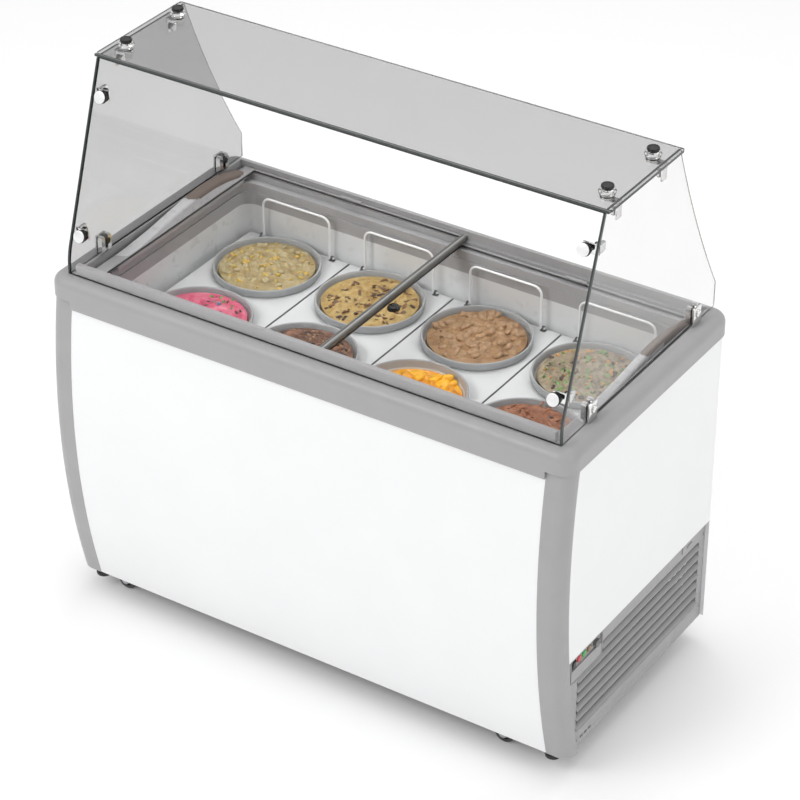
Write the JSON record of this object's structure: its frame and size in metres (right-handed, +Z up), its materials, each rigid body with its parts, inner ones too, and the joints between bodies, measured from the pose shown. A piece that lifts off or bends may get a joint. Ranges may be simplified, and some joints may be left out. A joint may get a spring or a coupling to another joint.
{
  "type": "ice cream dipping cabinet",
  "caption": "Chest freezer for scooped ice cream: round tubs in racks under sliding glass lids, a glass customer guard, a condensing unit behind a side grille, on castors.",
  "frame": {"origin": "centre of the bounding box at floor level", "axes": "+Z up, +X towards the grille end, +Y towards the server, -Y towards the customer"},
  "size_m": [1.204, 0.6369, 1.236],
  "materials": {
    "zinc": "satin",
    "white_paint": "satin",
    "grey_moulding": "satin",
    "liner_paint": "satin",
    "foam": "matt",
    "grey_track": "satin",
    "dark_trim": "satin",
    "black_plastic": "satin",
    "lamp_lens": "gloss",
    "black_paint": "satin",
    "rubber_foot": "matt",
    "coil_fins": "satin",
    "copper": "satin",
    "lid_glass": "gloss",
    "guard_glass": "gloss",
    "taupe_grip": "matt",
    "rack_white": "satin",
    "tub_plastic": "satin",
    "ice_cream": "matt",
    "chrome_clamp": "gloss",
    "castor_tread": "satin"
  },
  "bodies": {
    "cabinet": {"base_pan": "zinc", "front_panel": "white_paint", "left_side_panel": "white_paint", "right_side_panel": "white_paint", "back_panel": "white_paint", "front_posts": "grey_moulding", "liner": "liner_paint", "foam_insulation": "foam", "top_frame": "grey_moulding", "front_glass_channel": "grey_moulding", "lid_track_frame": "grey_track", "condenser_grille": "grey_moulding", "grille_screws": "zinc", "control_panel": "dark_trim", "indicator_lamps": "lamp_lens", "thermostat_body": "zinc", "compressor": "black_paint", "compressor_mounts": "rubber_foot", "terminal_box": "dark_trim", "condenser_coil": "coil_fins", "fan_shroud": "zinc", "fan_motor": "black_paint", "refrigerant_lines": "copper", "evaporator_tube": "copper", "drip_tray": "dark_trim", "drain_plug": "dark_trim", "cable_gland": "black_plastic", "castor_plates": "zinc", "tub_racks": "rack_white", "tubs": "tub_plastic", "ice_cream": "ice_cream", "top_glass": "guard_glass", "front_glass": "guard_glass", "side_glasses": "guard_glass", "glass_clamps": "chrome_clamp", "clamp_caps": "black_plastic"},
    "left_lid": {"left_lid_glass": "lid_glass", "left_lid_frame": "grey_track", "left_lid_grip": "taupe_grip"},
    "right_lid": {"right_lid_glass": "lid_glass", "right_lid_frame": "grey_track", "right_lid_grip": "taupe_grip"},
    "lid_lock": {"lid_lock": "black_plastic"},
    "thermostat_knob": {"thermostat_knob": "black_plastic"},
    "power_rocker": {"power_rocker": "black_plastic"},
    "condenser_fan": {"condenser_fan": "coil_fins"},
    "rack_handle_1": {"rack_handle_1": "rack_white"},
    "rack_handle_2": {"rack_handle_2": "rack_white"},
    "rack_handle_3": {"rack_handle_3": "rack_white"},
    "rack_handle_4": {"rack_handle_4": "rack_white"},
    "castor_fork_fl": {"castor_fork_fl": "zinc"},
    "castor_wheel_fl": {"castor_wheel_fl": "castor_tread"},
    "castor_fork_fr": {"castor_fork_fr": "zinc"},
    "castor_wheel_fr": {"castor_wheel_fr": "castor_tread"},
    "castor_fork_rl": {"castor_fork_rl": "zinc"},
    "castor_wheel_rl": {"castor_wheel_rl": "castor_tread"},
    "castor_fork_rr": {"castor_fork_rr": "zinc"},
    "castor_wheel_rr": {"castor_wheel_rr": "castor_tread"},
    "castor_brake_fl": {"castor_brake_fl": "black_plastic"},
    "castor_brake_fr": {"castor_brake_fr": "black_plastic"}
  },
  "joints": [
    {"name": "left_lid_slide", "type": "slide", "parent": "cabinet", "child": "left_lid", "axis": [1, 0, 0], "range_m": [0, 0.48]},
    {"name": "right_lid_slide", "type": "slide", "parent": "cabinet", "child": "right_lid", "axis": [1, 0, 0], "range_m": [-0.48, 0]},
    {"name": "lid_lock_turn", "type": "hinge", "parent": "right_lid", "child": "lid_lock", "pos_m": [0.025, -0.004, 0.7603], "axis": [0, 0, 1], "range_deg": [0, 90]},
    {"name": "thermostat_turn", "type": "hinge", "parent": "cabinet", "child": "thermostat_knob", "pos_m": [0.59, -0.153, 0.269], "axis": [1, 0, 0], "range_deg": [-270, 0]},
    {"name": "power_rocker_tilt", "type": "hinge", "parent": "cabinet", "child": "power_rocker", "pos_m": [0.585, -0.237, 0.269], "axis": [0, 1, 0], "range_deg": [-16, 0]},
    {"name": "fan_spin", "type": "hinge", "parent": "cabinet", "child": "condenser_fan", "pos_m": [0.508, -0.09, 0.164], "axis": [1, 0, 0], "continuous": true},
    {"name": "rack_handle_1_fold", "type": "hinge", "parent": "cabinet", "child": "rack_handle_1", "pos_m": [-0.3855, 0.251, 0.648], "axis": [1, 0, 0], "range_deg": [0, 60]},
    {"name": "rack_handle_2_fold", "type": "hinge", "parent": "cabinet", "child": "rack_handle_2", "pos_m": [-0.1285, 0.251, 0.648], "axis": [1, 0, 0], "range_deg": [0, 60]},
    {"name": "rack_handle_3_fold", "type": "hinge", "parent": "cabinet", "child": "rack_handle_3", "pos_m": [0.1285, 0.251, 0.648], "axis": [1, 0, 0], "range_deg": [0, 60]},
    {"name": "rack_handle_4_fold", "type": "hinge", "parent": "cabinet", "child": "rack_handle_4", "pos_m": [0.3855, 0.251, 0.648], "axis": [1, 0, 0], "range_deg": [0, 60]},
    {"name": "castor_swivel_fl", "type": "hinge", "parent": "cabinet", "child": "castor_fork_fl", "pos_m": [-0.47, -0.216, 0.048], "axis": [0, 0, 1], "continuous": true},
    {"name": "castor_roll_fl", "type": "hinge", "parent": "castor_fork_fl", "child": "castor_wheel_fl", "pos_m": [-0.51, -0.216, 0.023], "axis": [0, 1, 0], "continuous": true},
    {"name": "castor_swivel_fr", "type": "hinge", "parent": "cabinet", "child": "castor_fork_fr", "pos_m": [0.47, -0.216, 0.048], "axis": [0, 0, 1], "continuous": true},
    {"name": "castor_roll_fr", "type": "hinge", "parent": "castor_fork_fr", "child": "castor_wheel_fr", "pos_m": [0.43, -0.216, 0.023], "axis": [0, 1, 0], "continuous": true},
    {"name": "castor_swivel_rl", "type": "hinge", "parent": "cabinet", "child": "castor_fork_rl", "pos_m": [-0.47, 0.232, 0.048], "axis": [0, 0, 1], "continuous": true},
    {"name": "castor_roll_rl", "type": "hinge", "parent": "castor_fork_rl", "child": "castor_wheel_rl", "pos_m": [-0.51, 0.232, 0.023], "axis": [0, 1, 0], "continuous": true},
    {"name": "castor_swivel_rr", "type": "hinge", "parent": "cabinet", "child": "castor_fork_rr", "pos_m": [0.47, 0.232, 0.048], "axis": [0, 0, 1], "continuous": true},
    {"name": "castor_roll_rr", "type": "hinge", "parent": "castor_fork_rr", "child": "castor_wheel_rr", "pos_m": [0.43, 0.232, 0.023], "axis": [0, 1, 0], "continuous": true},
    {"name": "castor_brake_press_fl", "type": "hinge", "parent": "castor_fork_fl", "child": "castor_brake_fl", "pos_m": [-0.534, -0.216, 0.042], "axis": [0, -1, 0], "range_deg": [0, 20]},
    {"name": "castor_brake_press_fr", "type": "hinge", "parent": "castor_fork_fr", "child": "castor_brake_fr", "pos_m": [0.406, -0.216, 0.042], "axis": [0, -1, 0], "range_deg": [0, 20]}
  ]
}
